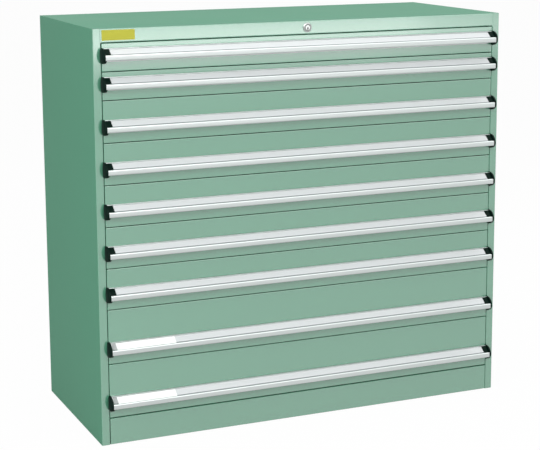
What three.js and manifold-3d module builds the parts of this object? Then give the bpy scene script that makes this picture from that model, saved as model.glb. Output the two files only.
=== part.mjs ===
// Industrial drawer cabinet: nine drawers on roller runners in a folded sheet steel housing,
// with one key lock that blocks every drawer through a cam, a rod and an upright bar.
// Millimetres, +Z up, drawer fronts face -Y, origin on the floor at the middle of the footprint.

import * as THREE from "three";
import { mergeVertices } from "three/addons/utils/BufferGeometryUtils.js";
import Module from "manifold-3d";

const wasm = await Module();
wasm.setup();

// Gaps that all pieces share
const seatGap = 0.3;
const slideGap = 0.5;
const cutOverrun = 5;
const weldBite = 0.2;
const bendSteps = 2;
const railBendSteps = 1;

// Housing
const cabinetWidth = 1300;
const cabinetDepth = 550;
const panelSheet = 1.6;
const bendRadius = 2.4;
const stileWidth = 24;
const foldReturn = 18;
const rearReturn = 22;
const topRailHeight = 40;
const topRearFlange = 25;
const plinthHeight = 80;
const plinthSeam = 3;
const baseSetdown = 2.4;
const baseFootWidth = 30;

// Drawer stack, top to bottom
const shallowPitch = 80;
const middlePitch = 120;
const deepPitch = 160;
const shallowCount = 2;
const middleCount = 5;
const deepCount = 2;
const drawerSeam = 2;
const frontSideGap = 1.6;

// Back panel with two pressed ribs
const backSheet = 1.2;
const ribWidth = 60;
const ribDepth = 6;
const ribSlope = 10;
const ribSpacing = 420;
const ribEndMargin = 110;

// Runners: a fixed channel with a front roller, and a rail with a rear roller on each drawer side
const railSheet = 1.5;
const railDepth = 16;
const railInset = 1;
const railLift = 16;
const railHeadroom = 2.7;
const railPlay = 9.5;
const rollerDiameter = 21;
const rollerWidth = 9;
const rollerGap = 2.5;
const rollerSides = 12;
const axleSides = 6;
const axleDiameter = 7;
const axleHead = 2;
const axleRise = 1.2;
const frontRollerSetback = 1.5;
const railRearMargin = 12;
const railSkirt = 5;

// Runner posts
const postWidth = 30;
const frontPostSetback = 60;
const rearPostSetback = 60;
const postTopMargin = 12;
const postSlotWidth = 12;
const postSlotHeight = 6;
const postSlotPitch = 100;

// Drawer trays
const traySheet = 1.2;
const trayBend = 1.8;
const trayLift = 14;
const trayTopMargin = 12;
const trayFlange = 6;
const trayRearMargin = 52;

// Drawer fronts
const frontSheet = 1.2;
const frontReturn = 20;
const frontEdgeRadius = 1.6;
const frontEdgeSteps = 2;

// Handle extrusion on every front
const handleLift = 22.5;
const handleHeight = 42.5;
const handleReach = 31.5;
const handlePlate = 2;
const handleWall = 1.8;
const handleFoot = 5;
const ledgeDepth = 6.5;
const lipHeight = 1.6;
const lipOverhang = 1.4;
const labelFall = 15.5;
const ridgeHeight = 1.4;
const noseLift = 9.5;
const noseBulge = 3.2;
const noseSteps = 3;

// End caps of the handle
const capPlate = 3.2;
const capGrip = 1;
const capDome = 7;
const capProud = 1;
const capDomeSteps = 3;
const capSteps = 2;
const tabLength = 17;
const tabThickness = 2;
const footLength = 4;
const footGap = 6;

// Key lock
const lockRingDiameter = 27;
const lockRingThickness = 2.6;
const lockBodyDiameter = 20;
const lockBodyLength = 16.5;
const plugDiameter = 14;
const plugProud = 0.8;
const plugTail = 6;
const keySlotWidth = 2.6;
const keySlotHeight = 8;
const keySlotDepth = 12;
const keySlotDrop = 4;
const lockSides = 24;

// Lock linkage
const camArm = 14;
const linkPlate = 2.5;
const linkBoss = 5;
const linkPin = 5;
const linkWall = 3;
const linkSides = 12;
const rodHeight = 9;
const rodEndHeight = 30;
const rodGuideSpacing = 205;
const rodGuideCount = 2;
const rodGuideWidth = 16;
const rodGuideWall = 2;
const rivetDiameter = 4;
const rivetHeadDiameter = 7;
const rivetHead = 1.2;
const rivetSpacing = 14;
const barWidth = 10;
const barThickness = 3;
const barSideRoom = 0.6;
const barBottomMargin = 22;
const crossRailFlange = 20;
const lugHeight = 10;
const lugThickness = 3;
const lugRise = 1.2;
const lugPlay = 6;
const guideThickness = 3;
const guideWall = 3.5;
const guideRise = 3;

// Share of an arm's length by which a swing of 90 degrees strays from a steady slide
const swingStrayShare = 0.03;
// Where the dome of an end cap is highest, as a share of the handle's reach and height
const capMiddleShare = 0.45;

function surface(color, roughness, metalness) {
  return new THREE.MeshStandardMaterial({ color, roughness, metalness });
}

const housingPaint = surface(0x93b8a2, 0.45, 0.1);
const frontPaint = surface(0x93b8a2, 0.42, 0.1);
const trayPaint = surface(0x9dbcab, 0.5, 0.1);
const zincSteel = surface(0xb9bcc0, 0.4, 0.8);
const aluminium = surface(0xd5dbda, 0.35, 0.9);
const capPlastic = surface(0x0d1a15, 0.5, 0);
const lockMetal = surface(0xdde0df, 0.2, 1);

// Sizes that follow from the values above
const stackHeight = shallowPitch * shallowCount + middlePitch * middleCount + deepPitch * deepCount;
const cabinetHeight = plinthHeight + stackHeight + topRailHeight;
const halfWidth = cabinetWidth / 2;
const innerHalf = halfWidth - panelSheet - seatGap;
const openingHalf = halfWidth - stileWidth;
const frontHalf = openingHalf - frontSideGap;
const innerBack = cabinetDepth - panelSheet - seatGap - backSheet - seatGap;
const topUnderside = cabinetHeight - panelSheet - seatGap;
const baseTop = plinthHeight - plinthSeam - baseSetdown;

const railBack = openingHalf - railInset;
const railMouth = railBack - railDepth;
const rollerOuter = railBack - railSheet - rollerGap;
const rollerInner = rollerOuter - rollerWidth;
const drawerRailFace = railMouth - railPlay;
const traySide = drawerRailFace - railSheet;
const rollerRadius = rollerDiameter / 2;
const rearRollerRise = railLift + railSheet + seatGap + rollerRadius;
const frontRollerRise = rearRollerRise + axleRise;
const flangeRise = frontRollerRise + rollerRadius + seatGap;
const railInnerTop = flangeRise + railSheet + railHeadroom;
const railTop = railInnerTop + railSheet;

const trayFront = foldReturn + seatGap;
const trayBack = cabinetDepth - trayRearMargin;
const railEnd = trayBack + railRearMargin;
const rearRollerBack = trayBack - rollerRadius;

const lockHeight = cabinetHeight - topRailHeight / 2;
const linkPlay = camArm * swingStrayShare + seatGap;
const linkTravel = camArm * Math.SQRT2;
const armCast = camArm * Math.SQRT1_2;
const pinLow = lockHeight - camArm;
const pinHigh = lockHeight - armCast;
const rodMiddle = (pinLow + pinHigh) / 2;
const rodLow = rodMiddle - rodHeight / 2;
const rodHigh = rodMiddle + rodHeight / 2;
const camFront = foldReturn + slideGap;
const camBack = camFront + linkPlate;
const rodFront = camBack + slideGap;
const rodBack = rodFront + linkPlate;
const barFront = rodBack + seatGap;
const barBack = barFront + barThickness;
const crossRailFront = barBack + slideGap;
const barOuter = innerHalf - barSideRoom;
const barInner = barOuter - barWidth;
const barInnerLocked = barInner - linkTravel;
const flangeTip = barInnerLocked - slideGap;
const railFront = barBack + slideGap;
const frontRollerBack = railFront + frontRollerSetback + rollerRadius;
const lugLow = railTop + lugRise;
const lugFront = barBack + lugPlay;
const lugTip = frontHalf;

const capReach = handleReach + capProud;
const capBase = frontHalf + capGrip;
const handleEnd = capBase - capPlate;
const labelTop = handleHeight - lipHeight - lipOverhang;
const noseTop = labelTop - labelFall + ridgeHeight;
const noseBack = noseBulge - handleReach;
const labelFoot = noseBack + ridgeHeight;

// Turn a closed geometry into a solid that can be joined and cut
function solidOf(geometry) {
  const bare = geometry.clone();
  bare.deleteAttribute("normal");
  bare.deleteAttribute("uv");
  const merged = mergeVertices(bare);
  const vertProperties = Float32Array.from(merged.attributes.position.array);
  const triVerts = Uint32Array.from(merged.index.array);
  return new wasm.Manifold(new wasm.Mesh({ numProp: 3, vertProperties, triVerts }));
}

function geometryOf(solid) {
  const { vertProperties, triVerts } = solid.getMesh();
  const geometry = new THREE.BufferGeometry();
  geometry.setAttribute("position", new THREE.BufferAttribute(vertProperties, 3));
  geometry.setIndex(new THREE.BufferAttribute(triVerts, 1));
  geometry.computeVertexNormals();
  return geometry;
}

function joined(solids) {
  return solids.reduce((whole, piece) => whole.add(piece));
}

function block([left, right], [front, back], [low, high]) {
  const geometry = new THREE.BoxGeometry(right - left, back - front, high - low);
  geometry.translate((left + right) / 2, (front + back) / 2, (low + high) / 2);
  return solidOf(geometry);
}

// The same span on the right side, or mirrored to the left side
function sideSpan(side, near, far) {
  return side > 0 ? [near, far] : [-far, -near];
}

function shapeOf(points) {
  return new THREE.Shape(points.map(([a, b]) => new THREE.Vector2(a, b)));
}

function extruded(points, length) {
  return new THREE.ExtrudeGeometry(shapeOf(points), { depth: length, bevelEnabled: false });
}

// Outline points are [y, z]
function alongX(points, [left, right]) {
  const geometry = extruded(points, right - left).rotateX(Math.PI / 2).rotateZ(Math.PI / 2);
  return solidOf(geometry.translate(left, 0, 0));
}

// Outline points are [x, z]
function alongY(points, [front, back]) {
  return solidOf(extruded(points, back - front).rotateX(Math.PI / 2).translate(0, back, 0));
}

// Outline points are [x, y]
function alongZ(points, [low, high]) {
  return solidOf(extruded(points, high - low).translate(0, 0, low));
}

function pinAlongX(radius, [left, right], y, z, sides) {
  const geometry = new THREE.CylinderGeometry(radius, radius, right - left, sides);
  return solidOf(geometry.rotateZ(Math.PI / 2).translate((left + right) / 2, y, z));
}

function pinAlongY(radius, [front, back], x, z, sides) {
  const geometry = new THREE.CylinderGeometry(radius, radius, back - front, sides);
  return solidOf(geometry.translate(x, (front + back) / 2, z));
}

function cornerArc(before, corner, after, radius, count) {
  const into = corner.clone().sub(before).normalize();
  const out = after.clone().sub(corner).normalize();
  const turn = Math.atan2(into.cross(out), into.dot(out));
  const setback = radius * Math.tan(Math.abs(turn) / 2);
  const start = corner.clone().addScaledVector(into, -setback);
  const side = new THREE.Vector2(-into.y, into.x).multiplyScalar(Math.sign(turn) * radius);
  const centre = start.clone().add(side);
  const steps = Array.from({ length: count + 1 }, (_, step) => (turn * step) / count);
  return steps.map((angle) => start.clone().rotateAround(centre, angle).toArray());
}

function bentPath(corners, outerRadius, innerRadius, count) {
  const last = corners.length - 1;
  return corners.flatMap((corner, index) => {
    if (index === 0 || index === last) {
      return [corner.toArray()];
    }
    const into = corner.clone().sub(corners[index - 1]);
    const out = corners[index + 1].clone().sub(corner);
    const radius = into.cross(out) > 0 ? outerRadius : innerRadius;
    return cornerArc(corners[index - 1], corner, corners[index + 1], radius, count);
  });
}

function leftNormal(from, to) {
  const along = to.clone().sub(from).normalize();
  return new THREE.Vector2(-along.y, along.x);
}

// The path moved to its left by a distance, with mitred corners
function offsetPath(corners, distance) {
  const last = corners.length - 1;
  return corners.map((corner, index) => {
    const before = leftNormal(corners[Math.max(index - 1, 0)], corners[Math.max(index, 1)]);
    const after = leftNormal(corners[Math.min(index, last - 1)], corners[Math.min(index + 1, last)]);
    const mitre = before.clone().add(after);
    return corner.clone().addScaledVector(mitre, distance / (1 + before.dot(after)));
  });
}

// Outline of a folded sheet: the path is one face, and the sheet lies on the path's left
function sheetOutline(path, sheet, bend, count = bendSteps) {
  const corners = path.map(([a, b]) => new THREE.Vector2(a, b));
  const face = bentPath(corners, bend, bend - sheet, count);
  const inside = bentPath(offsetPath(corners, sheet), bend - sheet, bend, count);
  return [...face, ...inside.reverse()];
}

// Outline of a bar with round ends from one point to another
function slotOutline([fromA, fromB], [toA, toB], radius, sides) {
  const heading = Math.atan2(toB - fromB, toA - fromA);
  const half = sides / 2;
  const steps = Array.from({ length: half + 1 }, (_, step) => step / half);
  const turns = steps.map((share) => heading + Math.PI * (share - 1 / 2));
  const far = turns.map((turn) => [toA + radius * Math.cos(turn), toB + radius * Math.sin(turn)]);
  const near = turns.map((turn) => [fromA - radius * Math.cos(turn), fromB - radius * Math.sin(turn)]);
  return [...far, ...near];
}

// A side panel is one sheet folded into the stile in front and a narrow return behind
function sidePanel() {
  const path = [
    [openingHalf, foldReturn],
    [openingHalf, 0],
    [halfWidth, 0],
    [halfWidth, cabinetDepth],
    [halfWidth - rearReturn, cabinetDepth],
  ];
  const panel = alongZ(sheetOutline(path, panelSheet, bendRadius), [0, cabinetHeight]);
  const lipNotch = block(
    [openingHalf - cutOverrun, openingHalf + panelSheet + seatGap],
    [panelSheet + seatGap, foldReturn + cutOverrun],
    [topUnderside - seatGap, cabinetHeight + cutOverrun],
  );
  const cornerNotch = block(
    [openingHalf - cutOverrun, innerHalf],
    [panelSheet, bendRadius + cutOverrun],
    [topUnderside, cabinetHeight + cutOverrun],
  );
  return panel.subtract(lipNotch).subtract(cornerNotch);
}

// The top is folded down in front as the rail that holds the lock
function topPanel() {
  const railLow = cabinetHeight - topRailHeight + drawerSeam / 2;
  const path = [
    [innerBack, cabinetHeight - topRearFlange],
    [innerBack, cabinetHeight],
    [0, cabinetHeight],
    [0, railLow],
    [foldReturn, railLow],
  ];
  const panel = alongX(sheetOutline(path, panelSheet, bendRadius), [-innerHalf, innerHalf]);
  const notches = [-1, 1].map((side) => {
    const across = sideSpan(side, openingHalf - seatGap, halfWidth);
    const stileSeat = panelSheet + seatGap;
    const low = railLow - cutOverrun;
    const face = block(across, [-cutOverrun, stileSeat], [low, cabinetHeight + cutOverrun]);
    const skirt = block(across, [-cutOverrun, foldReturn + cutOverrun], [low, topUnderside + seatGap]);
    return face.add(skirt);
  });
  const lockHole = pinAlongY(
    lockBodyDiameter / 2 + seatGap,
    [-cutOverrun, panelSheet + cutOverrun],
    0,
    lockHeight,
    lockSides,
  );
  return panel.subtract(joined(notches)).subtract(lockHole);
}

// A channel behind the top rail that stiffens it, with the loops that the lock's rod slides in
function crossRail() {
  const low = cabinetHeight - topRailHeight + panelSheet + seatGap;
  const path = [
    [crossRailFront + crossRailFlange, topUnderside],
    [crossRailFront, topUnderside],
    [crossRailFront, low],
    [crossRailFront + crossRailFlange, low],
  ];
  const channel = alongX(sheetOutline(path, panelSheet, bendRadius), [-innerHalf, innerHalf]);
  const room = slideGap + rodGuideWall;
  const loops = Array.from({ length: rodGuideCount }, (_, index) => {
    const middle = rodGuideSpacing * (index + 1);
    const across = [middle - rodGuideWidth / 2, middle + rodGuideWidth / 2];
    return block(across, [rodFront - room, crossRailFront + weldBite], [rodLow - room, rodHigh + room]);
  });
  const passage = block(
    [0, innerHalf],
    [rodFront - slideGap, rodBack + slideGap],
    [rodLow - slideGap, rodHigh + slideGap],
  );
  return channel.add(joined(loops).subtract(passage));
}

function plinthPanel() {
  const high = plinthHeight + drawerSeam / 2 - plinthSeam;
  const path = [
    [foldReturn, high],
    [0, high],
    [0, 0],
    [foldReturn, 0],
  ];
  return alongX(sheetOutline(path, panelSheet, bendRadius), [-frontHalf, frontHalf]);
}

// The floor of the housing, folded down in front and behind to feet that turn inwards
function basePanel() {
  const front = foldReturn + seatGap;
  const path = [
    [innerBack - baseFootWidth, 0],
    [innerBack, 0],
    [innerBack, baseTop],
    [front, baseTop],
    [front, 0],
    [front + baseFootWidth, 0],
  ];
  return alongX(sheetOutline(path, panelSheet, bendRadius), [-innerHalf, innerHalf]);
}

// A pressed rib: a shallow tapered hollow that stands into the housing
function ribForm(across, mouthHalf, low, high, front, back) {
  const slope = ribSlope;
  const ring = (half, bottom, top, depth) => [
    [across - half, depth, bottom],
    [across + half, depth, bottom],
    [across + half, depth, top],
    [across - half, depth, top],
  ];
  const outline = [[0, 0], [1, 0], [1, 1], [0, 1]];
  const crown = ring(mouthHalf - slope, low + slope, high - slope, front);
  return lofted(outline, [ring(mouthHalf, low, high, back), crown]);
}

function backPanel() {
  const front = innerBack + seatGap;
  const back = front + backSheet;
  const low = ribEndMargin;
  const high = cabinetHeight - ribEndMargin;
  const ribs = [-ribSpacing / 2, ribSpacing / 2];
  const half = ribWidth / 2;
  const raised = ribs.map((across) => ribForm(across, half, low, high, front - ribDepth, front + weldBite));
  const pressed = ribs.map((across) => ribForm(
    across,
    half - backSheet,
    low + backSheet,
    high - backSheet,
    front - ribDepth + backSheet,
    back + seatGap,
  ));
  const sheet = block([-innerHalf, innerHalf], [front, back], [0, cabinetHeight]);
  return joined([sheet, ...raised]).subtract(joined(pressed));
}

function roller([left, right], y, z) {
  return pinAlongX(rollerRadius, [left, right], y, z, rollerSides);
}

// One fixed runner of the right side, for a drawer whose zone starts at the given height
function cabinetRail(zone) {
  const low = zone + railLift;
  const high = zone + railTop;
  const path = [
    [railMouth, low],
    [railBack + weldBite, low],
    [railBack + weldBite, high],
    [railMouth, high],
  ];
  const outline = sheetOutline(path, railSheet, bendRadius, railBendSteps);
  const channel = alongY(outline, [railFront, railEnd]);
  const rollerHeight = zone + frontRollerRise;
  const wheel = roller([rollerInner, rollerOuter], frontRollerBack, rollerHeight);
  const axle = pinAlongX(
    axleDiameter / 2,
    [rollerInner - axleHead, railBack - railSheet / 2],
    frontRollerBack,
    rollerHeight,
    axleSides,
  );
  return channel.add(wheel).add(axle);
}

function runnerPost(front) {
  const back = front + postWidth;
  const path = [
    [innerHalf, back],
    [railBack, back],
    [railBack, front],
    [innerHalf, front],
  ];
  const low = baseTop + seatGap;
  const high = cabinetHeight - topRailHeight - postTopMargin;
  const post = alongZ(sheetOutline(path, panelSheet, bendRadius), [low, high]);
  const count = Math.floor((high - low - postSlotPitch) / postSlotPitch);
  const middle = (front + back) / 2;
  const slots = Array.from({ length: count }, (_, index) => {
    const height = low + postSlotPitch * (index + 1);
    return block(
      [railBack - cutOverrun, railBack + cutOverrun],
      [middle - postSlotWidth / 2, middle + postSlotWidth / 2],
      [height - postSlotHeight / 2, height + postSlotHeight / 2],
    );
  });
  return post.subtract(joined(slots));
}

// A plate on the front post with a slot that the locking bar slides sideways in
function barGuide(zone) {
  const low = zone + lugLow + lugHeight + guideRise;
  const plate = block(
    [barInnerLocked - slideGap - guideWall, innerHalf],
    [barFront - slideGap - guideWall, frontPostSetback + panelSheet],
    [low, low + guideThickness],
  );
  const passage = block(
    [barInnerLocked - slideGap, innerHalf + cutOverrun],
    [barFront - slideGap, barBack + slideGap],
    [low - cutOverrun, low + guideThickness + cutOverrun],
  );
  return plate.subtract(passage);
}

function runnerFrame(zones) {
  const frontPost = runnerPost(frontPostSetback);
  const rearPost = runnerPost(railEnd - rearPostSetback);
  return joined([frontPost, rearPost, ...zones.map(cabinetRail)]);
}

// An upright bar that the rod carries beside the drawers, and pulls in front of their lugs
function lockingBar() {
  const bar = block([barInner, barOuter], [barFront, barBack], [baseTop + barBottomMargin, rodHigh]);
  const across = (barInner + barOuter) / 2;
  const rivets = rivetHeights().flatMap((height) => {
    const headBack = rodFront - seatGap;
    const shankFront = headBack - weldBite;
    return [
      pinAlongY(rivetDiameter / 2, [shankFront, barFront + weldBite], across, height, linkSides),
      pinAlongY(rivetHeadDiameter / 2, [headBack - rivetHead, headBack], across, height, linkSides),
    ];
  });
  return joined([bar, ...rivets]);
}

// The two rivets that hold the bar on the rod's turned-down end
function rivetHeights() {
  const middle = rodHigh - rodEndHeight / 2;
  return [middle - rivetSpacing / 2, middle + rivetSpacing / 2];
}

// A flat rod with an upright slot for the cam's pin, turned down where it carries the bar
function transferRod() {
  const slotHalf = linkPin / 2 + linkPlay;
  const depth = [rodFront, rodBack];
  const through = [rodFront - cutOverrun, rodBack + cutOverrun];
  const strip = block([armCast, barOuter], depth, [rodLow, rodHigh]);
  const turnedDown = block([barInner, barOuter], depth, [rodHigh - rodEndHeight, rodHigh]);
  const slotEnds = [[armCast, pinLow], [armCast, pinHigh]];
  const head = alongY(slotOutline(...slotEnds, slotHalf + linkWall, linkSides), depth);
  const slot = alongY(slotOutline(...slotEnds, slotHalf, linkSides), through);
  const across = (barInner + barOuter) / 2;
  const holeRadius = rivetDiameter / 2 + seatGap;
  const holes = rivetHeights().map((height) => pinAlongY(holeRadius, through, across, height, linkSides));
  return joined([strip, turnedDown, head]).subtract(joined([slot, ...holes]));
}

function lockCam() {
  const pinPlace = [armCast, pinHigh];
  const plate = alongY(slotOutline([0, lockHeight], pinPlace, linkBoss, linkSides), [camFront, camBack]);
  const rodPin = pinAlongY(linkPin / 2, [camFront, rodBack + weldBite], ...pinPlace, linkSides);
  const seat = plugTail / 2 + seatGap;
  const tailHole = block(
    [-seat, seat],
    [camFront - cutOverrun, camBack + cutOverrun],
    [lockHeight - seat, lockHeight + seat],
  );
  return plate.subtract(tailHole).add(rodPin);
}

function lockBarrel() {
  const bore = plugDiameter / 2 + seatGap;
  const ringBack = -seatGap;
  const sleeve = (radius, depth) => pinAlongY(radius, depth, 0, lockHeight, lockSides);
  const ring = sleeve(lockRingDiameter / 2, [ringBack - lockRingThickness, ringBack]);
  const body = sleeve(lockBodyDiameter / 2, [ringBack - weldBite, lockBodyLength]);
  const through = sleeve(bore, [ringBack - lockRingThickness - cutOverrun, lockBodyLength + cutOverrun]);
  return ring.add(body).subtract(through);
}

function lockPlug() {
  const face = -seatGap - lockRingThickness - plugProud;
  const shank = pinAlongY(plugDiameter / 2, [face, camFront - seatGap], 0, lockHeight, lockSides);
  const tail = block(
    [-plugTail / 2, plugTail / 2],
    [camFront - seatGap - weldBite, camBack],
    [lockHeight - plugTail / 2, lockHeight + plugTail / 2],
  );
  const slotMiddle = lockHeight - keySlotDrop / 2;
  const keySlot = block(
    [-keySlotWidth / 2, keySlotWidth / 2],
    [face - cutOverrun, face + keySlotDepth],
    [slotMiddle - keySlotHeight / 2, slotMiddle + keySlotHeight / 2],
  );
  return shank.add(tail).subtract(keySlot);
}

// A drawer front is a shallow pan whose edges fold back and then inwards to seat on the tray
function drawerFront(pitch) {
  const high = pitch - drawerSeam;
  const round = frontEdgeRadius;
  const face = shapeOf([
    [round - frontHalf, round],
    [frontHalf - round, round],
    [frontHalf - round, high - round],
    [round - frontHalf, high - round],
  ]);
  const bevelled = new THREE.ExtrudeGeometry(face, {
    depth: foldReturn,
    bevelThickness: round,
    bevelSize: round,
    bevelSegments: frontEdgeSteps,
  });
  const pan = solidOf(bevelled.rotateX(Math.PI / 2).translate(0, round + foldReturn, 0));
  const behind = block(
    [-cabinetWidth, cabinetWidth],
    [foldReturn, foldReturn + 2 * round + cutOverrun],
    [-cutOverrun, pitch + cutOverrun],
  );
  const hollow = block(
    [frontSheet - frontHalf, frontHalf - frontSheet],
    [frontSheet, foldReturn - frontSheet],
    [frontSheet, high - frontSheet],
  );
  const mouth = block(
    [frontReturn - frontHalf, frontHalf - frontReturn],
    [frontSheet, foldReturn + cutOverrun],
    [frontReturn, high - frontReturn],
  );
  return pan.subtract(behind).subtract(hollow.add(mouth));
}

// A folded tray with an outward flange round its sides, its rails and rear rollers, and the lock lug
function drawerTray(pitch) {
  const low = trayLift - drawerSeam / 2;
  const high = pitch - trayTopMargin - drawerSeam / 2;
  const path = [
    [-traySide - trayFlange, high - traySheet],
    [-traySide, high - traySheet],
    [-traySide, low],
    [traySide, low],
    [traySide, high - traySheet],
    [traySide + trayFlange, high - traySheet],
  ];
  const outline = sheetOutline(path, traySheet, trayBend, railBendSteps);
  const trough = alongY(outline, [trayFront, trayBack]);
  const walls = [trayFront, trayBack - traySheet].map((front) => block(
    [-traySide + traySheet / 2, traySide - traySheet / 2],
    [front, front + traySheet],
    [low + traySheet / 2, high],
  ));
  const rails = [-1, 1].flatMap((side) => {
    const web = sideSpan(side, traySide - weldBite, drawerRailFace);
    const wheel = sideSpan(side, rollerInner, rollerOuter);
    const axle = sideSpan(side, traySide, rollerOuter + axleHead / 2);
    const flangeLow = flangeRise - drawerSeam / 2;
    const rollerHeight = rearRollerRise - drawerSeam / 2;
    return [
      block(web, [lugFront, trayBack], [rollerHeight - railSkirt, flangeLow + railSheet]),
      block(
        sideSpan(side, traySide, flangeTip),
        [lugFront, rearRollerBack],
        [flangeLow, flangeLow + railSheet],
      ),
      roller(wheel, rearRollerBack, rollerHeight),
      pinAlongX(axleDiameter / 2, axle, rearRollerBack, rollerHeight, axleSides),
    ];
  });
  const lugBottom = lugLow - drawerSeam / 2;
  const lug = block(
    [traySide - traySheet / 2, lugTip],
    [lugFront, lugFront + lugThickness],
    [lugBottom, lugBottom + lugHeight],
  );
  return joined([trough, ...walls, ...rails, lug]);
}

// Section of the handle: a plate on the front, a ledge, the sloped label face and the rounded nose
function handleOutline() {
  const back = -seatGap;
  const ledge = -ledgeDepth;
  const lip = ledge - lipOverhang;
  const noseHalf = (noseTop - noseLift) / 2;
  const noseMiddle = noseLift + noseHalf;
  const outer = new THREE.Path();
  outer.moveTo(back, handleFoot);
  outer.lineTo(back, handleHeight);
  outer.lineTo(lip, handleHeight);
  outer.lineTo(lip, handleHeight - lipHeight);
  outer.lineTo(ledge, labelTop);
  outer.lineTo(labelFoot, noseTop - ridgeHeight);
  outer.lineTo(labelFoot, noseTop);
  outer.lineTo(noseBack, noseTop);
  outer.absellipse(noseBack, noseMiddle, noseBulge, noseHalf, Math.PI / 2, Math.PI * 1.5, false);
  const inner = new THREE.Path();
  const bulge = noseBulge - handleWall;
  inner.moveTo(noseBack, noseLift + handleWall);
  inner.absellipse(noseBack, noseMiddle, bulge, noseHalf - handleWall, Math.PI * 1.5, Math.PI / 2, true);
  inner.lineTo(labelFoot + handleWall, noseTop - ridgeHeight - handleWall);
  inner.lineTo(ledge, labelTop - 2 * handleWall);
  inner.lineTo(back - handlePlate, labelTop - 2 * handleWall);
  inner.lineTo(back - handlePlate, handleFoot);
  const points = [...outer.getPoints(noseSteps), ...inner.getPoints(noseSteps)];
  return points.map((point) => point.toArray()).reverse();
}

function handleBar() {
  return alongX(handleOutline(), [seatGap - handleEnd, handleEnd - seatGap]);
}

// Outline of an end cap: flat on the front, and round over the handle's section
function capOutline() {
  const outline = new THREE.Path();
  const high = handleHeight + capProud;
  const noseMiddle = (noseTop + noseLift) / 2;
  const bulge = capReach - ledgeDepth;
  outline.moveTo(-seatGap, 0);
  outline.lineTo(-seatGap, high);
  outline.absellipse(-ledgeDepth, noseMiddle, bulge, high - noseMiddle, Math.PI / 2, Math.PI, false);
  outline.absellipse(-ledgeDepth, noseMiddle, bulge, noseMiddle, Math.PI, Math.PI * 1.5, false);
  return outline.getPoints(capSteps).map((point) => point.toArray());
}

// A closed body between rings of equal count, the first and last closed by the flat outline's triangles
function lofted(outline, rings) {
  const count = outline.length;
  const ends = THREE.ShapeUtils.triangulateShape(outline.map(([a, b]) => new THREE.Vector2(a, b)), []);
  const last = (rings.length - 1) * count;
  const faces = ends.flatMap(([a, b, c]) => [a, c, b, last + a, last + b, last + c]);
  for (let ring = 0; ring < last; ring += count) {
    for (let index = 0; index < count; index += 1) {
      const next = (index + 1) % count;
      faces.push(ring + index, ring + next, ring + count + next);
      faces.push(ring + index, ring + count + next, ring + count + index);
    }
  }
  const geometry = new THREE.BufferGeometry();
  geometry.setAttribute("position", new THREE.Float32BufferAttribute(rings.flat(2), 3));
  geometry.setIndex(faces);
  return solidOf(geometry);
}

// A moulded cap: a plate against the handle's end, domed outwards, with a tab over the label face
function endCap() {
  const outline = capOutline();
  const middle = [-handleReach * capMiddleShare, handleHeight * capMiddleShare];
  const domeRing = (step) => {
    const swell = (Math.PI / 2) * (step / (capDomeSteps + 1));
    const shrink = Math.cos(swell);
    return outline.map(([y, z]) => [
      capBase + capDome * Math.sin(swell),
      middle[0] + (y - middle[0]) * shrink,
      middle[1] + (z - middle[1]) * shrink,
    ]);
  };
  const plate = outline.map(([y, z]) => [handleEnd, y, z]);
  const domes = Array.from({ length: capDomeSteps + 1 }, (_, step) => domeRing(step));
  const body = lofted(outline, [plate, ...domes]);
  const start = new THREE.Vector2(-ledgeDepth, labelTop);
  const slope = new THREE.Vector2(labelFoot, noseTop - ridgeHeight).sub(start);
  const along = slope.clone().normalize();
  const outward = new THREE.Vector2(along.y, -along.x);
  const ends = [slideGap, slope.length() - ridgeHeight - slideGap];
  const tabFace = ([run, rise]) => start.clone().addScaledVector(along, run).addScaledVector(outward, rise);
  const tabCorners = [
    [ends[0], slideGap],
    [ends[0], slideGap + tabThickness],
    [ends[1], slideGap + tabThickness],
    [ends[1], slideGap],
  ];
  const tabOutline = tabCorners.map((corner) => tabFace(corner).toArray());
  const tab = alongX(tabOutline, [handleEnd - tabLength, handleEnd + weldBite]);
  const lobe = alongX(outline, [handleEnd - footLength, handleEnd + weldBite]);
  const underNose = block(
    [handleEnd - tabLength, handleEnd + tabLength],
    [-capReach - cutOverrun, -handlePlate - footGap],
    [-cutOverrun, noseLift - seatGap],
  );
  const foot = lobe.intersect(underNose);
  return body.add(tab).add(foot);
}

function mirrored(geometry) {
  const copy = geometry.clone().scale(-1, 1, 1);
  const corners = copy.index.array;
  for (let index = 0; index < corners.length; index += 3) {
    const first = corners[index];
    corners[index] = corners[index + 1];
    corners[index + 1] = first;
  }
  copy.computeVertexNormals();
  return copy;
}

const cabinet = new THREE.Group();
cabinet.position.set(0, (capReach - cabinetDepth) / 2, 0);

function place(parent, name, geometry, material) {
  const mesh = new THREE.Mesh(geometry, material);
  mesh.name = name;
  parent.add(mesh);
}

// Heights of the drawer zones, from the top drawer down
const pitches = [
  ...Array(shallowCount).fill(shallowPitch),
  ...Array(middleCount).fill(middlePitch),
  ...Array(deepCount).fill(deepPitch),
];
const zones = pitches.map((_, index) => {
  const above = pitches.slice(0, index + 1).reduce((sum, pitch) => sum + pitch, 0);
  return plinthHeight + stackHeight - above;
});

const sideGeometry = geometryOf(sidePanel());
place(cabinet, "right_side_panel", sideGeometry, housingPaint);
place(cabinet, "left_side_panel", mirrored(sideGeometry), housingPaint);
place(cabinet, "back_panel", geometryOf(backPanel()), housingPaint);
place(cabinet, "top_panel", geometryOf(topPanel()), housingPaint);
place(cabinet, "base_panel", geometryOf(basePanel()), housingPaint);
place(cabinet, "plinth_panel", geometryOf(plinthPanel()), housingPaint);
place(cabinet, "front_cross_rail", geometryOf(crossRail()), zincSteel);

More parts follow.
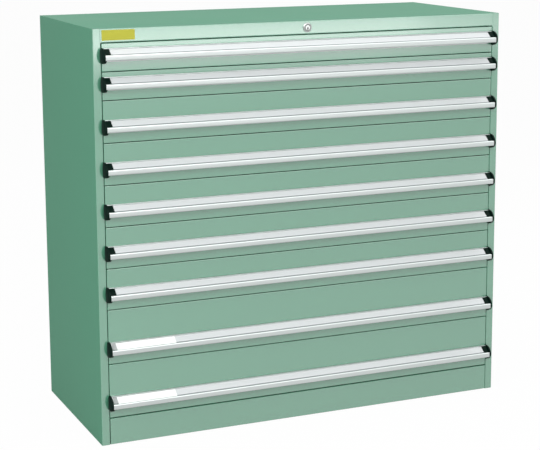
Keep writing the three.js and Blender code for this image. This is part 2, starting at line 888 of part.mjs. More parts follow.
const frame = runnerFrame(zones);
const guides = [zones[1], zones[Math.floor(zones.length / 2)], zones[zones.length - 1]].map(barGuide);
place(cabinet, "left_runner_frame", mirrored(geometryOf(frame)), zincSteel);
place(cabinet, "right_runner_frame", geometryOf(joined([frame, ...guides])), zincSteel);

place(cabinet, "lock_barrel", geometryOf(lockBarrel()), lockMetal);
place(cabinet, "lock_plug", geometryOf(lockPlug()), lockMetal);
place(cabinet, "lock_cam", geometryOf(lockCam()), zincSteel);
place(cabinet, "transfer_rod", geometryOf(transferRod()), zincSteel);
place(cabinet, "locking_bar", geometryOf(lockingBar()), zincSteel);

// The drawers: all five pieces of one drawer slide together
const handleGeometry = geometryOf(handleBar());
const rightCapGeometry = geometryOf(endCap());
const leftCapGeometry = mirrored(rightCapGeometry);
const shapes = new Map([shallowPitch, middlePitch, deepPitch].map((pitch) => [pitch, {
  front: geometryOf(drawerFront(pitch)),
  tray: geometryOf(drawerTray(pitch)),
}]));

zones.forEach((zone, index) => {
  const drawer = new THREE.Group();
  drawer.position.set(0, 0, zone + drawerSeam / 2);
  cabinet.add(drawer);
  const name = `drawer_${index + 1}`;
  const { front, tray } = shapes.get(pitches[index]);
  place(drawer, `${name}_front`, front, frontPaint);
  place(drawer, `${name}_tray`, tray, trayPaint);
  const grip = new THREE.Group();
  grip.position.set(0, 0, handleLift);
  drawer.add(grip);
  place(grip, `${name}_handle`, handleGeometry, aluminium);
  place(grip, `${name}_cap_left`, leftCapGeometry, capPlastic);
  place(grip, `${name}_cap_right`, rightCapGeometry, capPlastic);
});

export default cabinet;
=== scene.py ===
import math

import bmesh
import bpy
from mathutils import Matrix, Vector


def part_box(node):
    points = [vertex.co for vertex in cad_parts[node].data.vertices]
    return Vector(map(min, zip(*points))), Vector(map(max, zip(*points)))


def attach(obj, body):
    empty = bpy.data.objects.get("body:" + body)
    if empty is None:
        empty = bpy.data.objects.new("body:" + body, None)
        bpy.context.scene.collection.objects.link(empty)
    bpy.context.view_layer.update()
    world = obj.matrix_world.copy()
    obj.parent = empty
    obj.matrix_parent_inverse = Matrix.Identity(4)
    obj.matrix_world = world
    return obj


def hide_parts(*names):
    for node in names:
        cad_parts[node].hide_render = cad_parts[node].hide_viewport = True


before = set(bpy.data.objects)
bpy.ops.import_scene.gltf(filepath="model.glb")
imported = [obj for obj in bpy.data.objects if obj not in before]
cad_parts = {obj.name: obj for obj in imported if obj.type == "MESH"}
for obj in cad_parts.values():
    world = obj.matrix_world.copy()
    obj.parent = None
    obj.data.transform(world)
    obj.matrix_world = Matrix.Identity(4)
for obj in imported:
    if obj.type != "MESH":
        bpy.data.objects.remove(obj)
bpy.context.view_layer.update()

# The studio: the camera stands left of the cabinet, a little above its top, with a long lens.
# Its place and angles were fitted to the photograph's corners and drawer seams.
CAMERA_PLACE = Vector((-1.865, -4.302, 1.557))
CAMERA_LENS = 101.9
CAMERA_YAW = -0.4074
CAMERA_PITCH = -0.178
CAMERA_ROLL = -0.0048
CAMERA_SHIFT = -0.10
CAMERA_SEES = 100.0

camera = bpy.data.objects.new("camera", bpy.data.cameras.new("camera"))
bpy.context.scene.collection.objects.link(camera)
turn = Matrix.Rotation(CAMERA_YAW, 4, "Z") @ Matrix.Rotation(math.pi / 2 + CAMERA_PITCH, 4, "X")
camera.matrix_world = Matrix.Translation(CAMERA_PLACE) @ turn @ Matrix.Rotation(CAMERA_ROLL, 4, "Z")
camera.data.lens = CAMERA_LENS
camera.data.shift_y = CAMERA_SHIFT
camera.data.clip_end = CAMERA_SEES
bpy.context.scene.camera = camera
bpy.context.scene.view_settings.view_transform = "Standard"

# The floor is a wide pale sheet that runs on as far as the lens sees. To the camera and in mirrors
# it is white paper with a trace of the cabinet's shadow, and it lights the cabinet from below.
FLOOR_HALF = 30.0
FLOOR_COLOUR = (0.80, 0.80, 0.80)
FLOOR_GLOW = 0.975
WHITE = (1.0, 1.0, 1.0)


class Wire:
    """A node's output that Python's operators can add, subtract, multiply and compare."""

    def __init__(self, finish, socket):
        self.finish = finish
        self.socket = socket

    def maths(self, operation, first, second=0.0):
        return self.finish.node("ShaderNodeMath", {"operation": operation}, {0: first, 1: second})

    def __add__(self, other):
        return self.maths("ADD", self, other)

    def __radd__(self, other):
        return self.maths("ADD", other, self)

    def __sub__(self, other):
        return self.maths("SUBTRACT", self, other)

    def __rsub__(self, other):
        return self.maths("SUBTRACT", other, self)

    def __mul__(self, other):
        return self.maths("MULTIPLY", self, other)

    def __rmul__(self, other):
        return self.maths("MULTIPLY", other, self)

    def __gt__(self, other):
        return self.maths("GREATER_THAN", self, other)

    def __lt__(self, other):
        return self.maths("LESS_THAN", self, other)

    def __abs__(self):
        return self.maths("ABSOLUTE", self)


class Finish:
    """The nodes of a new material, or of the world where that is given as their host."""

    def __init__(self, name, host=None):
        self.host = host or bpy.data.materials.new(name)
        self.host.use_nodes = True
        self.tree = self.host.node_tree
        self.tree.nodes.clear()

    def node(self, kind, settings=None, sockets=None, output=0):
        """Add a node, make its settings first, then fill its sockets, and give one output."""
        made = self.tree.nodes.new(kind)
        for name, value in (settings or {}).items():
            setattr(made, name, value)
        for name, value in (sockets or {}).items():
            target = made.inputs[name]
            if isinstance(value, Wire):
                self.tree.links.new(value.socket, target)
            elif target.type == "RGBA":
                target.default_value = (*value, 1.0)
            else:
                target.default_value = value
        return Wire(self, made.outputs[output]) if made.outputs else None

    def place(self):
        return self.node("ShaderNodeTexCoord", output="Object")

    def noise(self, place, scale, detail=2.0):
        sockets = {"Vector": place, "Scale": scale, "Detail": detail}
        return self.node("ShaderNodeTexNoise", sockets=sockets)

    def mixed(self, share, first, second):
        """A blend of two colours, by a share that may be a Wire."""
        sockets = {0: share, 6: first, 7: second}
        return self.node("ShaderNodeMix", {"data_type": "RGBA"}, sockets, output=2)

    def bump(self, height, distance):
        sockets = {"Height": height, "Distance": distance, "Strength": 1.0}
        return self.node("ShaderNodeBump", sockets=sockets)

    def white_rays(self):
        """One for the rays that see a white background: the lens's, mirrored and refracted ones."""
        kinds = ("Is Camera Ray", "Is Glossy Ray", "Is Transmission Ray")
        return sum(self.node("ShaderNodeLightPath", output=kind) for kind in kinds)

    def surface(self, shader):
        self.node("ShaderNodeOutputMaterial", sockets={"Surface": shader})
        return self.host


floor_mesh = bmesh.new()
bmesh.ops.create_grid(floor_mesh, x_segments=1, y_segments=1, size=FLOOR_HALF)
floor = bpy.data.objects.new("floor", bpy.data.meshes.new("floor"))
floor_mesh.to_mesh(floor.data)
floor_mesh.free()
bpy.context.scene.collection.objects.link(floor)
paper = Finish("floor_paper")
matt = paper.node("ShaderNodeBsdfDiffuse", sockets={"Color": FLOOR_COLOUR})
glow = paper.node("ShaderNodeEmission", sockets={"Color": WHITE, "Strength": 1.0})
glow_share = paper.white_rays() * FLOOR_GLOW
floor_paper = paper.node("ShaderNodeMixShader", sockets={0: glow_share, 1: matt, 2: glow})
floor.data.materials.append(paper.surface(floor_paper))

# The light: a dim room, white to the lens and in mirrors, under a wide white ceiling, with a soft box
# on the left for the side panel, a key in front, two strips end to end that the top drawer mirrors
# as a sheen that fades to the right, and weak fills behind and on the right.
ROOM_LIGHT = 0.18
SOFT_BOXES = {
    # name: (place, target, (width, height), radiance)
    "ceiling": ((0.4, -2.0, 3.3), (0.4, -2.0, 0.0), (7.0, 8.0), 1.12),
    "left_box": ((-3.3, -2.0, 1.3), (-0.65, 0.1, 0.6), (2.2, 2.2), 3.5),
    "front_key": ((-0.6, -4.6, 2.8), (0.0, -0.2, 0.7), (2.6, 2.0), 5.4),
    "sheen_strip": ((1.6, -4.6, 0.74), (1.6, 0.0, 0.74), (2.4, 0.15), 4.0),
    "sheen_end": ((3.1, -4.6, 0.74), (3.1, 0.0, 0.74), (0.6, 0.15), 2.4),
    "rear_fill": ((-1.6, 4.6, 2.4), (0.0, 0.3, 0.6), (2.5, 2.5), 1.5),
    "right_fill": ((4.5, -0.4, 1.3), (0.65, -0.4, 0.6), (3.6, 2.0), 1.4),
}

bpy.context.scene.world = bpy.data.worlds.new("studio")
room = Finish("studio", bpy.context.scene.world)
dim = room.node("ShaderNodeBackground", sockets={"Color": WHITE, "Strength": ROOM_LIGHT})
bright = room.node("ShaderNodeBackground", sockets={"Color": WHITE, "Strength": 1.0})
walls = room.node("ShaderNodeMixShader", sockets={0: room.white_rays(), 1: dim, 2: bright})
room.node("ShaderNodeOutputWorld", sockets={"Surface": walls})

for name, (place, target, (width, height), radiance) in SOFT_BOXES.items():
    lamp = bpy.data.lights.new(name, "AREA")
    lamp.shape = "RECTANGLE"
    lamp.size = width
    lamp.size_y = height
    lamp.energy = radiance * math.pi * width * height
    box = bpy.data.objects.new(name, lamp)
    bpy.context.scene.collection.objects.link(box)
    box.location = place
    box.rotation_mode = "QUATERNION"
    box.rotation_quaternion = (Vector(target) - Vector(place)).to_track_quat("-Z", "Y")

# The housing is folded sheet steel with a light green powder coat: two side panels that turn round
# to the stiles, the top with its rail, the plinth, the base and the back. Only what faces the front
# has the mirroring coat, because the photograph's side panel shows no sheen.
MM = 0.001
PAINT_GREEN = (0.070, 0.242, 0.150)
PAINT_PALE = (0.080, 0.258, 0.163)
PAINT_ROUGHNESS = (0.37, 0.47)
PAINT_GLOSS = 0.03
COAT_INDEX = 2.45
COAT_ROUGHNESS = 0.12
COAT_DEPTH = 1 * MM
CLOUD_SCALE = 2.6
CLOUD_DETAIL = 3.0
PEEL_SCALE = 520.0
PEEL_DEPTH = 0.03 * MM

front_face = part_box("plinth_panel")[0].y


def between(share, low, high):
    """A number that runs from low to high with a share."""
    return low + share * (high - low)


def dressed(material, names):
    """Give CAD nodes a material in place of their plain one."""
    for name in names:
        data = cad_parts[name].data
        data.materials.clear()
        data.materials.append(material)


paint = Finish("green_powder_coat")
paint_place = paint.place()
paint_cloud = paint.noise(paint_place, CLOUD_SCALE, CLOUD_DETAIL)
inward = paint.node("ShaderNodeSeparateXYZ", sockets={0: paint_place}, output="Y")
green_paint = paint.surface(paint.node("ShaderNodeBsdfPrincipled", sockets={
    "Base Color": paint.mixed(paint_cloud, PAINT_GREEN, PAINT_PALE),
    "Roughness": between(paint_cloud, *PAINT_ROUGHNESS),
    "Normal": paint.bump(paint.noise(paint_place, PEEL_SCALE), PEEL_DEPTH),
    "Specular IOR Level": PAINT_GLOSS,
    "Coat Weight": inward < front_face + COAT_DEPTH,
    "Coat IOR": COAT_INDEX,
    "Coat Roughness": COAT_ROUGHNESS,
}))
dressed(green_paint, ["left_side_panel", "right_side_panel", "top_panel", "plinth_panel", "base_panel",
                      "back_panel"])

# Inside, the two welded runner frames, the cross rail and the lock's links are folded or stamped
# from steel and bright zinc plated, with the faint grey spangle of the bath.
ZINC_LIGHT = (0.62, 0.63, 0.64)
ZINC_DARK = (0.47, 0.48, 0.50)
ZINC_ROUGHNESS = (0.30, 0.46)
SPANGLE_SCALE = 90.0
SPANGLE_DETAIL = 3.0
ZINC_GRAIN_SCALE = 700.0
ZINC_GRAIN_DEPTH = 0.02 * MM

zinc = Finish("zinc_plated_steel")
zinc_place = zinc.place()
spangle = zinc.noise(zinc_place, SPANGLE_SCALE, SPANGLE_DETAIL)
zinc_plate = zinc.surface(zinc.node("ShaderNodeBsdfPrincipled", sockets={
    "Base Color": zinc.mixed(spangle, ZINC_DARK, ZINC_LIGHT),
    "Metallic": 1.0,
    "Roughness": between(spangle, *ZINC_ROUGHNESS),
    "Normal": zinc.bump(zinc.noise(zinc_place, ZINC_GRAIN_SCALE), ZINC_GRAIN_DEPTH),
}))
dressed(zinc_plate, ["left_runner_frame", "right_runner_frame", "front_cross_rail", "lock_cam",
                     "transfer_rod", "locking_bar"])

# The drawers: nine folded front pans, and nine folded trays behind them in the same paint. The rails,
# rollers and lock lugs that are welded or riveted to the trays' sides are zinc plated.
DRAWERS = range(1, 10)
RAIL_FROM = 598.2 * MM
TRAY_ROUGHNESS = (0.41, 0.51)
RAIL_POLISH = 0.12

tray = Finish("painted_tray")
tray_place = tray.place()
tray_cloud = tray.noise(tray_place, CLOUD_SCALE, CLOUD_DETAIL)
across = tray.node("ShaderNodeSeparateXYZ", sockets={0: tray_place}, output="X")
on_rail = abs(across) > RAIL_FROM
tray_paint = tray.surface(tray.node("ShaderNodeBsdfPrincipled", sockets={
    "Base Color": tray.mixed(on_rail, PAINT_PALE, ZINC_LIGHT),
    "Metallic": on_rail,
    "Roughness": between(tray_cloud, *TRAY_ROUGHNESS) - on_rail * RAIL_POLISH,
    "Normal": tray.bump(tray.noise(tray_place, PEEL_SCALE), PEEL_DEPTH),
}))
dressed(green_paint, [f"drawer_{number}_front" for number in DRAWERS])
dressed(tray_paint, [f"drawer_{number}_tray" for number in DRAWERS])

# Each drawer's handle is one aluminium extrusion as long as the front, clear anodised: a plate on
# the front, a thin lip, the sloped label face, and a rounded nose that the fingers reach behind.
ALUMINIUM = (0.56, 0.60, 0.59)
BAR_ROUGHNESS = (0.29, 0.41)
DRAW_SCALE = 1500.0
DRAW_DETAIL = 3.0
DRAW_STRETCH = (0.012, 1.0, 1.0)
DRAW_DEPTH = 0.012 * MM
SEAT_GAP = 0.3 * MM
HANDLE_FOOT = 5 * MM
HANDLE_TOP = 42.5 * MM
FRONT_PLATE = 2 * MM
WALL = 1.8 * MM
LEDGE = 6.5 * MM
LIP_OVERHANG = 1.4 * MM
LIP_HEIGHT = 1.6 * MM
LABEL_TOP = 39.5 * MM
LABEL_FOOT = 24 * MM
NOSE_DEPTH = 4.6 * MM
NOSE_TOP = 25.4 * MM
NOSE_FOOT = 9.5 * MM
NOSE_ROUND = 3.6 * MM
NOSE_STEPS = 8
EDGE_ROUND = 0.35 * MM
EDGE_STEPS = 2
SHARP_ANGLE = math.radians(32)

reach = front_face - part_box("drawer_1_handle")[0].y
label_out = reach - NOSE_DEPTH


def seated(name, mesh, material, body, smooth=True):
    """Finish a bmesh as a named object that rides on a body."""
    bmesh.ops.recalc_face_normals(mesh, faces=mesh.faces)
    for face in mesh.faces:
        face.smooth = smooth
    piece = bpy.data.objects.new(name, bpy.data.meshes.new(name))
    mesh.to_mesh(piece.data)
    mesh.free()
    piece.data.materials.append(material)
    bpy.context.scene.collection.objects.link(piece)
    if smooth:
        piece.data.set_sharp_from_angle(angle=SHARP_ANGLE)
    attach(piece, body)
    return piece


def section_face(mesh, corners, x):
    """A flat face across X through corners given as (out from the front, up) in metres."""
    return mesh.faces.new([mesh.verts.new((x, front_face - out, up)) for out, up in corners])


def extruded(mesh, faces):
    """Extrude faces as one region and give the new corners and the new faces."""
    made = bmesh.ops.extrude_face_region(mesh, geom=faces)["geom"]
    tips = [part for part in made if isinstance(part, bmesh.types.BMVert)]
    ends = [part for part in made if isinstance(part, bmesh.types.BMFace)]
    return tips, ends


def drawn_out(mesh, face, length):
    """Extrude a face along X and give the corners of both ends."""
    near = list(face.verts)
    tips = extruded(mesh, [face])[0]
    bmesh.ops.translate(mesh, verts=tips, vec=(length, 0, 0))
    return near + tips


def rounded(mesh, parts, radius, segments, affect="VERTICES"):
    """Round corners of a flat face, or edges of a solid."""
    bmesh.ops.bevel(mesh, geom=parts, offset=radius, offset_type="OFFSET", segments=segments,
                    profile=0.5, affect=affect, material=-1)


bar = Finish("anodised_aluminium")
along = bar.node("ShaderNodeMapping", sockets={"Vector": bar.place(), "Scale": DRAW_STRETCH})
draw_lines = bar.noise(along, DRAW_SCALE, DRAW_DETAIL)
anodised = bar.surface(bar.node("ShaderNodeBsdfPrincipled", sockets={
    "Base Color": ALUMINIUM,
    "Metallic": 1.0,
    "Roughness": between(draw_lines, *BAR_ROUGHNESS),
    "Normal": bar.bump(draw_lines, DRAW_DEPTH),
}))

handle_corners = [
    (SEAT_GAP, HANDLE_FOOT),
    (SEAT_GAP, HANDLE_TOP),
    (LEDGE + LIP_OVERHANG, HANDLE_TOP),
    (LEDGE + LIP_OVERHANG, HANDLE_TOP - LIP_HEIGHT),
    (LEDGE, LABEL_TOP),
    (label_out, LABEL_FOOT),
    (label_out, NOSE_TOP),
    (reach, NOSE_TOP),
    (reach, NOSE_FOOT),
    (label_out, NOSE_FOOT),
    (label_out, NOSE_FOOT + WALL),
    (reach - WALL, NOSE_FOOT + WALL),
    (reach - WALL, LABEL_FOOT - WALL),
    (label_out - WALL, LABEL_FOOT - WALL),
    (LEDGE, LABEL_TOP - 2 * WALL),
    (FRONT_PLATE + SEAT_GAP, LABEL_TOP - 2 * WALL),
    (FRONT_PLATE + SEAT_GAP, HANDLE_FOOT),
]
for number in DRAWERS:
    low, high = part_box(f"drawer_{number}_handle")
    shape = bmesh.new()
    section = section_face(shape, handle_corners, low.x)
    nose = [corner for corner in section.verts if corner.co.y < front_face - reach + WALL / 2]
    others = [corner for corner in section.verts if corner not in nose]
    rounded(shape, others, EDGE_ROUND, EDGE_STEPS)
    rounded(shape, nose, NOSE_ROUND, NOSE_STEPS)
    drawn_out(shape, shape.faces[:][0], high.x - low.x)
    bmesh.ops.translate(shape, verts=shape.verts, vec=(0, 0, low.z - HANDLE_FOOT))
    handle = seated(f"drawer_{number}_grip", shape, anodised, f"drawer_{number}")
    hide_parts(f"drawer_{number}_handle")

# A black moulded cap closes each end of a handle. Its outer face is a smooth dome, a tab lies over
# the end of the label face, and a small lobe shows under the nose.
CAP_BLACK = (0.002, 0.010, 0.007)
CAP_GLOSS = 0.05
CAP_ROUGHNESS = (0.36, 0.46)
MOULD_SCALE = 1100.0
MOULD_DEPTH = 0.02 * MM
CAP_TOP = 43.5 * MM
CAP_OVERHANG = 1 * MM
CAP_PLATE = 3.2 * MM
CAP_DOME = 6.6 * MM
CAP_MIDDLE = 0.45
DOME_STEPS = 9
ARC_STEPS = 28
SAME_POINT = 0.001 * MM
TAB_LENGTH = 17 * MM
TAB_THICKNESS = 2 * MM
TAB_LIFT = 0.5 * MM
TAB_MARGINS = (0.5 * MM, 1.9 * MM)
LOBE_LENGTH = 4 * MM
LOBE_FROM = 8 * MM
CARD_DRAWERS = (8, 9)

mould = Finish("black_plastic")
mould_grain = mould.noise(mould.place(), MOULD_SCALE)
black_plastic = mould.surface(mould.node("ShaderNodeBsdfPrincipled", sockets={
    "Base Color": CAP_BLACK,
    "Roughness": between(mould_grain, *CAP_ROUGHNESS),
    "Specular IOR Level": CAP_GLOSS,
    "Normal": mould.bump(mould_grain, MOULD_DEPTH),
}))

cap_reach = front_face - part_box("drawer_1_cap_left")[0].y
cap_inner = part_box("drawer_1_front")[1].x + CAP_OVERHANG - CAP_PLATE
nose_middle = (NOSE_TOP + NOSE_FOOT) / 2


def cap_point(turn):
    """A point of the cap's round outline: the top at a quarter turn, the front at none."""
    rise = CAP_TOP - nose_middle if turn > 0 else nose_middle
    return LEDGE + (cap_reach - LEDGE) * math.cos(turn), nose_middle + rise * math.sin(turn)


def pushed_out(mesh, face, move, size=1.0, centre=(0, 0, 0)):
    """Extrude a face, move it and scale it in its plane across X, and give the new face."""
    tips, ends = extruded(mesh, [face])
    bmesh.ops.delete(mesh, geom=[face], context="FACES_ONLY")
    bmesh.ops.translate(mesh, verts=tips, vec=(move, 0, 0))
    bmesh.ops.scale(mesh, verts=tips, vec=(1, size, size), space=Matrix.Translation(-Vector(centre)))
    return ends[0]


cap_arc = [cap_point(math.pi * (0.5 - step / ARC_STEPS)) for step in range(ARC_STEPS + 1)]
cap_outline = [(SEAT_GAP, 0.0), (SEAT_GAP, CAP_TOP), *cap_arc]
dome_centre = (0, front_face - CAP_MIDDLE * reach, CAP_MIDDLE * HANDLE_TOP)
dome_turns = [math.pi / 2 * step / DOME_STEPS for step in range(DOME_STEPS)]
lobe_top = NOSE_FOOT - SEAT_GAP
lobe_arc = [(out, up) for out, up in cap_arc if up < lobe_top and out > LOBE_FROM]
lobe_outline = [(LOBE_FROM, lobe_top), (lobe_arc[0][0], lobe_top), *lobe_arc]

label_start = Vector((LEDGE, LABEL_TOP))
label_end = Vector((label_out, LABEL_FOOT))
slope = (label_end - label_start).normalized()
outward = Vector((-slope.y, slope.x))


def on_label(from_top, from_foot, lift, thickness):
    """A thin flat outline that lies on the sloped label face."""
    start = label_start + slope * from_top
    end = label_end - slope * from_foot
    under = outward * lift
    over = outward * (lift + thickness)
    return [start + under, start + over, end + over, end + under]


tab_outline = on_label(*TAB_MARGINS, TAB_LIFT, TAB_THICKNESS)
for number in DRAWERS:
    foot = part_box(f"drawer_{number}_cap_left")[0].z
    for side, label in ((-1, "left"), (1, "right")):
        shape = bmesh.new()
        # the flat back, and over it the face that the dome grows from
        section_face(shape, cap_outline, side * cap_inner)
        dome = section_face(shape, cap_outline, side * cap_inner)
        dome = pushed_out(shape, dome, side * CAP_PLATE)
        for near, far in zip(dome_turns, dome_turns[1:]):
            rise = CAP_DOME * (math.sin(far) - math.sin(near))
            dome = pushed_out(shape, dome, side * rise, math.cos(far) / math.cos(near), dome_centre)
        bmesh.ops.remove_doubles(shape, verts=shape.verts, dist=SAME_POINT)
        if label == "right" or number not in CARD_DRAWERS:
            tab = section_face(shape, tab_outline, side * (cap_inner - TAB_LENGTH))
            tab_corners = drawn_out(shape, tab, side * TAB_LENGTH)
            tab_edges = list(dict.fromkeys(edge for corner in tab_corners for edge in corner.link_edges))
            rounded(shape, tab_edges, EDGE_ROUND, EDGE_STEPS, "EDGES")
        lobe = section_face(shape, lobe_outline, side * (cap_inner - LOBE_LENGTH))
        drawn_out(shape, lobe, side * LOBE_LENGTH)
        bmesh.ops.translate(shape, verts=shape.verts, vec=(0, 0, foot))
        name = f"drawer_{number}_end_{label}"
        cap = seated(name, shape, black_plastic, f"drawer_{number}")
        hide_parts(f"drawer_{number}_cap_{label}")

# A strip of pale card under clear film lies on every label face between the caps' tabs. Along its foot a
# thin dark grey strip is painted shade, for the shadow line between the label face and the nose. Two
# drawers carry a white paper card on it, clamped at its left end by a small grey clip, and the top rail
# carries a plain yellow plate.
LABEL_CARD = ((0.60, 0.62, 0.63), (0.65, 0.67, 0.68), 0.35)
WHITE_CARD = ((0.84, 0.86, 0.85), (0.93, 0.94, 0.93), 0.6)
GREY_PLASTIC = ((0.36, 0.38, 0.38), (0.42, 0.44, 0.44), 0.4)
# painted shade: the dark grey of the strip along the label face's foot stands for a shadow line
PAINTED_SHADOW_GREY = ((0.20, 0.21, 0.23), (0.24, 0.25, 0.27), 0.6)
YELLOW_PLATE = ((0.34, 0.34, 0.02), (0.40, 0.39, 0.03), 0.6)
FIBRE_SCALE = 900.0
FIBRE_DETAIL = 4.0
FIBRE_DEPTH = 0.01 * MM
LAY_GAP = 0.1 * MM
STRIP_INSET = 0.8 * MM
STRIP_MARGIN = 3.6 * MM
STRIP_THICKNESS = 0.4 * MM
FOOT_MARGIN = 0.3 * MM
PAINTED_SHADOW_THICKNESS = 0.4 * MM
CARD_SPAN = (-606 * MM, -428 * MM)
CARD_LIFT = 0.6 * MM
CARD_THICKNESS = 0.4 * MM
CLIP_SPAN = (-618 * MM, -607 * MM)
CLIP_THICKNESS = 1.2 * MM
YELLOW_SPAN = (-623 * MM, -527 * MM)
YELLOW_RISE = (1167 * MM, 1196 * MM)
YELLOW_THICKNESS = 0.3 * MM


def plain_sheet(name, dark, light, roughness):
    """Card, plastic or painted sheet, or the dark strip of painted shade, with a faint mottle of two
    shades.
    """
    sheet = Finish(name)
    fibre = sheet.noise(sheet.place(), FIBRE_SCALE, FIBRE_DETAIL)
    return sheet.surface(sheet.node("ShaderNodeBsdfPrincipled", sockets={
        "Base Color": sheet.mixed(fibre, dark, light),
        "Roughness": roughness,
        "Normal": sheet.bump(fibre, FIBRE_DEPTH),
    }))


label_card = plain_sheet("label_card", *LABEL_CARD)
white_card = plain_sheet("white_card", *WHITE_CARD)
grey_plastic = plain_sheet("grey_plastic", *GREY_PLASTIC)
painted_shadow_sheet = plain_sheet("painted_shadow_sheet", *PAINTED_SHADOW_GREY)
yellow_plate = plain_sheet("yellow_plate", *YELLOW_PLATE)

strip_end = cap_inner - TAB_LENGTH - SEAT_GAP
strip_span = (-strip_end, strip_end)
painted_shadow_inset = (label_end - label_start).length - STRIP_MARGIN + LAY_GAP
label_outline = on_label(STRIP_INSET, STRIP_MARGIN, LAY_GAP, STRIP_THICKNESS)
painted_shadow_outline = on_label(painted_shadow_inset, FOOT_MARGIN, LAY_GAP, PAINTED_SHADOW_THICKNESS)
card_outline = on_label(STRIP_INSET, FOOT_MARGIN, CARD_LIFT, CARD_THICKNESS)
clip_outline = on_label(STRIP_INSET, STRIP_MARGIN, LAY_GAP, CLIP_THICKNESS)
every_strip = [
    ("label", strip_span, label_outline, label_card),
    # the dark strip at the foot of the label face is painted shade
    ("painted_shadow", strip_span, painted_shadow_outline, painted_shadow_sheet),
]
card_strips = [
    ("card", CARD_SPAN, card_outline, white_card),
    ("clip", CLIP_SPAN, clip_outline, grey_plastic),
]
for number in DRAWERS:
    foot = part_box(f"drawer_{number}_cap_left")[0].z
    strips = every_strip + card_strips if number in CARD_DRAWERS else every_strip
    for label, (left, right), strip_outline, material in strips:
        shape = bmesh.new()
        drawn_out(shape, section_face(shape, strip_outline, left), right - left)
        bmesh.ops.translate(shape, verts=shape.verts, vec=(0, 0, foot))
        seated(f"drawer_{number}_{label}", shape, material, f"drawer_{number}", smooth=False)

left, right = YELLOW_SPAN
low, high = YELLOW_RISE
back = LAY_GAP
front = LAY_GAP + YELLOW_THICKNESS
shape = bmesh.new()
plate = section_face(shape, [(back, low), (back, high), (front, high), (front, low)], left)
drawn_out(shape, plate, right - left)
seated("rail_plate", shape, yellow_plate, "root", smooth=False)

# The top rail's ends are welded to the stiles and ground flush before painting, so that paint runs
# over both joints: a thin painted bridge lies on each of them.
WELD_HALF = 1.1 * MM
WELD_PROUD = 0.05 * MM
WELD_THICKNESS = 0.3 * MM

stile_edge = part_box("left_side_panel")[1].x
rail_low, rail_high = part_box("top_panel")
weld_size = (2 * WELD_HALF, WELD_THICKNESS, rail_high.z - rail_low.z)
weld_middle = front_face - WELD_PROUD + WELD_THICKNESS / 2
for side, label in ((-1, "left"), (1, "right")):
    shape = bmesh.new()
    bmesh.ops.create_cube(shape, size=1.0)
    place = (side * stile_edge, weld_middle, (rail_low.z + rail_high.z) / 2)
    bmesh.ops.scale(shape, verts=shape.verts, vec=weld_size)
    bmesh.ops.translate(shape, verts=shape.verts, vec=place)
    seated(f"rail_weld_{label}", shape, green_paint, "root", smooth=False)

# The key lock in the middle of the top rail: a nickel barrel ring with a wide bevel, turned on a lathe,
# whose colour, darker than the face's, is painted shade, and the plug, whose bright face has a keyhole.
# Behind the keyhole the plug is painted near black, as painted shade inside the keyhole.
# painted shade: the ring's nickel is darker than the face's, for the dimmer reflections the ring shows
SHADED_RING_NICKEL = (0.36, 0.38, 0.37)
FACE_NICKEL = (0.72, 0.74, 0.73)
NICKEL_ROUGHNESS = (0.24, 0.34)
# painted shade: the plug behind the keyhole is near black, for the shade inside the keyhole
KEYHOLE_PAINTED_SHADE = (0.012, 0.014, 0.013)
KEYHOLE_SHADE_ROUGHNESS = (0.5, 0.7)
TURNING_SCALE = 300.0
SLEEVE_STEP = 3.5 * MM
BEVEL_RUN = 2.4 * MM
BEVEL_DROP = 1.2 * MM
RING_STEP = 0.9 * MM
RING_SIDES = 64
KEYHOLE_HALF = (2.2 * MM, 4.1 * MM)
KEYHOLE_DROP = 2.2 * MM
FACE_THICKNESS = 1 * MM


def nickel_plate(name, colour):
    nickel = Finish(name)
    turning = nickel.noise(nickel.place(), TURNING_SCALE)
    return nickel.surface(nickel.node("ShaderNodeBsdfPrincipled", sockets={
        "Base Color": colour,
        "Metallic": 1.0,
        "Roughness": between(turning, *NICKEL_ROUGHNESS),
    }))


shaded_ring_nickel = nickel_plate("shaded_ring_nickel", SHADED_RING_NICKEL)
bright_nickel = nickel_plate("bright_nickel", FACE_NICKEL)
keyhole_shade = Finish("keyhole_painted_shade")
keyhole_shade_grain = keyhole_shade.noise(keyhole_shade.place(), TURNING_SCALE)
dark_keyhole_shade = keyhole_shade.surface(keyhole_shade.node("ShaderNodeBsdfPrincipled", sockets={
    "Base Color": KEYHOLE_PAINTED_SHADE,
    "Roughness": between(keyhole_shade_grain, *KEYHOLE_SHADE_ROUGHNESS),
}))

ring_low, ring_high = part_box("lock_barrel")
plug_low, plug_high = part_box("lock_plug")
ring_radius = (ring_high.x - ring_low.x) / 2
ring_middle = (ring_high.z + ring_low.z) / 2
ring_out = front_face - ring_low.y
ring_in = front_face - ring_high.y
face_radius = (plug_high.x - plug_low.x) / 2
bore = face_radius + SEAT_GAP
sleeve = ring_radius - SLEEVE_STEP
ring_profile = [
    (bore, ring_in),
    (sleeve, ring_in),
    (sleeve, SEAT_GAP),
    (ring_radius, SEAT_GAP),
    (ring_radius, ring_out - BEVEL_DROP),
    (ring_radius - BEVEL_RUN, ring_out),
    (bore + 2 * RING_STEP, ring_out),
    (bore + RING_STEP, ring_out - RING_STEP),
    (bore, ring_out - RING_STEP),
]
shape = bmesh.new()
turned = [shape.verts.new((radius, front_face - out, ring_middle)) for radius, out in ring_profile]
outline = [shape.edges.new((turned[index - 1], turned[index])) for index in range(len(turned))]
bmesh.ops.spin(shape, geom=turned + outline, cent=(0, 0, ring_middle), axis=(0, 1, 0), angle=2 * math.pi,
               steps=RING_SIDES, use_merge=True)
ring = seated("lock_ring", shape, shaded_ring_nickel, "root")
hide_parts("lock_barrel")

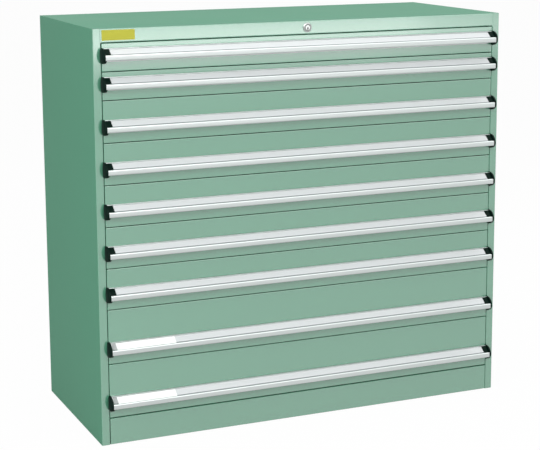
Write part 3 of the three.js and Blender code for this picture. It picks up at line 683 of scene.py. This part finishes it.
shape = bmesh.new()
bmesh.ops.create_circle(shape, cap_ends=False, radius=face_radius, segments=RING_SIDES)
hole = bmesh.ops.create_circle(shape, cap_ends=False, radius=1.0, segments=RING_SIDES)["verts"]
bmesh.ops.scale(shape, verts=hole, vec=(*KEYHOLE_HALF, 1))
bmesh.ops.translate(shape, verts=hole, vec=(0, -KEYHOLE_DROP, 0))
disc = bmesh.ops.bridge_loops(shape, edges=shape.edges[:])["faces"]
tips = extruded(shape, disc)[0]
bmesh.ops.translate(shape, verts=tips, vec=(0, 0, FACE_THICKNESS))
bmesh.ops.rotate(shape, verts=shape.verts, cent=(0, 0, 0), matrix=Matrix.Rotation(math.pi / 2, 3, "X"))
bmesh.ops.translate(shape, verts=shape.verts, vec=(0, plug_low.y, ring_middle))
seated("lock_face", shape, bright_nickel, "lock_plug")
# the plug is painted near black, as painted shade seen through the keyhole
dressed(dark_keyhole_shade, ["lock_plug"])

# Blind rivets with low domed heads hold the back panel to the base and the top, while the folded
# edges of the side panels clasp its sides. They are pulled after painting and stay bare aluminium.
RIVET_RADIUS = 4 * MM
RIVET_CROWN = 2.6 * MM
RIVET_HEIGHT = 1.4 * MM
RIVET_SIDES = 20
RIVET_ROUND = 0.5 * MM
RIVET_STEPS = 3
RIVETS_IN_ROW = 9
RIVET_PITCH = 145 * MM
ROW_HEIGHTS = (37 * MM, 1181 * MM)

rivet_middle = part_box("back_panel")[1].y + RIVET_HEIGHT / 2
row_half = (RIVETS_IN_ROW - 1) / 2
facing_back = Matrix.Rotation(-math.pi / 2, 4, "X")
shape = bmesh.new()
for step in range(RIVETS_IN_ROW):
    for height in ROW_HEIGHTS:
        seat = Matrix.Translation(((step - row_half) * RIVET_PITCH, rivet_middle, height))
        bmesh.ops.create_cone(shape, cap_ends=True, segments=RIVET_SIDES, radius1=RIVET_RADIUS,
                              radius2=RIVET_CROWN, depth=RIVET_HEIGHT, matrix=seat @ facing_back)
crowns = [edge for edge in shape.edges if all(corner.co.y > rivet_middle for corner in edge.verts)]
rounded(shape, crowns, RIVET_ROUND, RIVET_STEPS, "EDGES")
seated("back_rivets", shape, anodised, "root")
